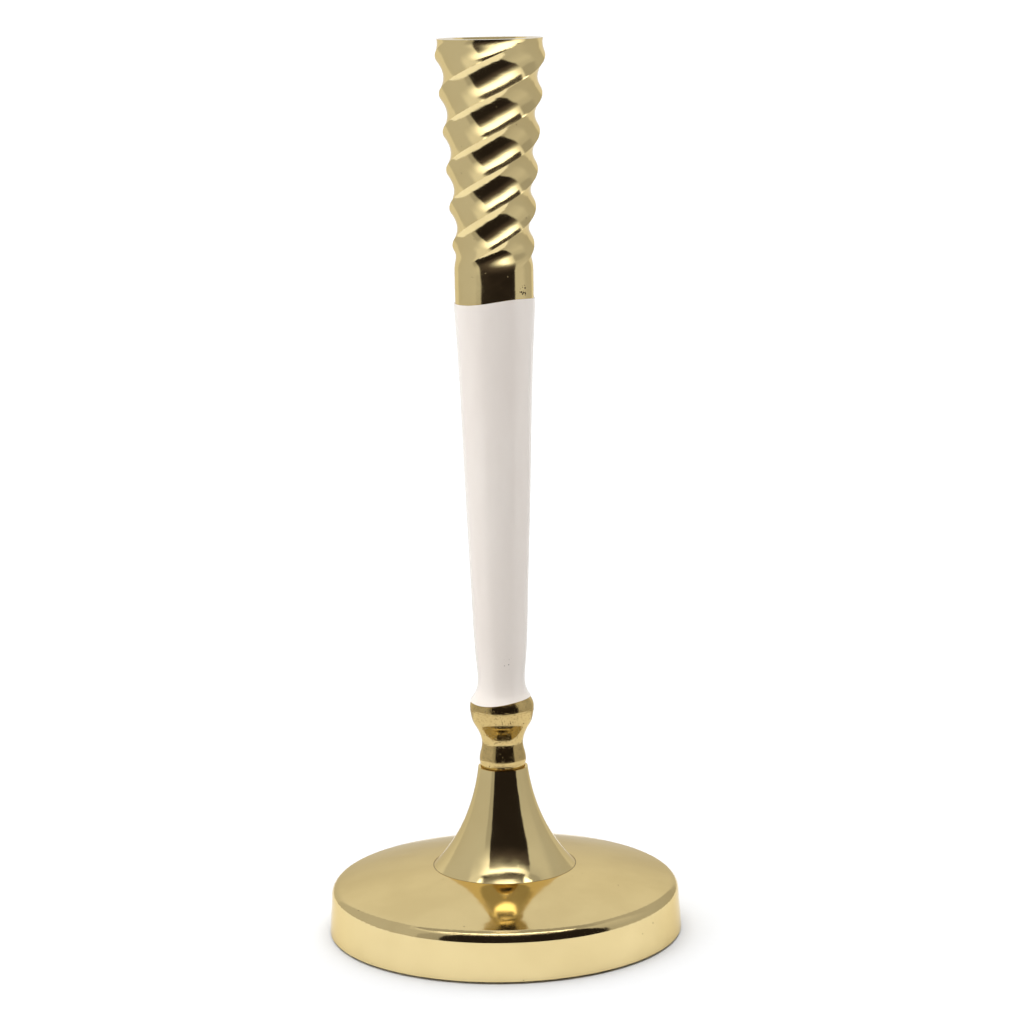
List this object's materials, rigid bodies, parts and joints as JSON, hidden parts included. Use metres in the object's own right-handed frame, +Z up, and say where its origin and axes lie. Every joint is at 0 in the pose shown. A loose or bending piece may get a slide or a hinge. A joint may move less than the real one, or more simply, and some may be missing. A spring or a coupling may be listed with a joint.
{
  "type": "spiral candle holder",
  "caption": "Tall taper candle holder: round domed base, trumpet and baluster neck, tapered white enamelled stem, and a flared socket twisted like a spiral column.",
  "frame": {"origin": "centre of the felt's underside, on the surface that the holder stands on", "axes": "+Z up along the holder's axis, out of the candle socket; -Y is the side that faces the viewer in the reference view"},
  "size_m": [0.1196, 0.1196, 0.3],
  "materials": {
    "polished_brass": "polished",
    "cast_brass": "polished",
    "white_enamel": "gloss",
    "zinc_steel": "satin",
    "felt": "matte"
  },
  "bodies": {
    "root": {"base": "polished_brass", "felt_pad": "felt", "trumpet": "polished_brass", "neck": "cast_brass", "stem_core": "polished_brass", "enamel_coat": "white_enamel", "spiral_socket": "polished_brass", "tie_rod": "zinc_steel", "flat_washer": "zinc_steel", "lock_washer": "zinc_steel", "rod_nut": "zinc_steel"}
  },
  "joints": []
}
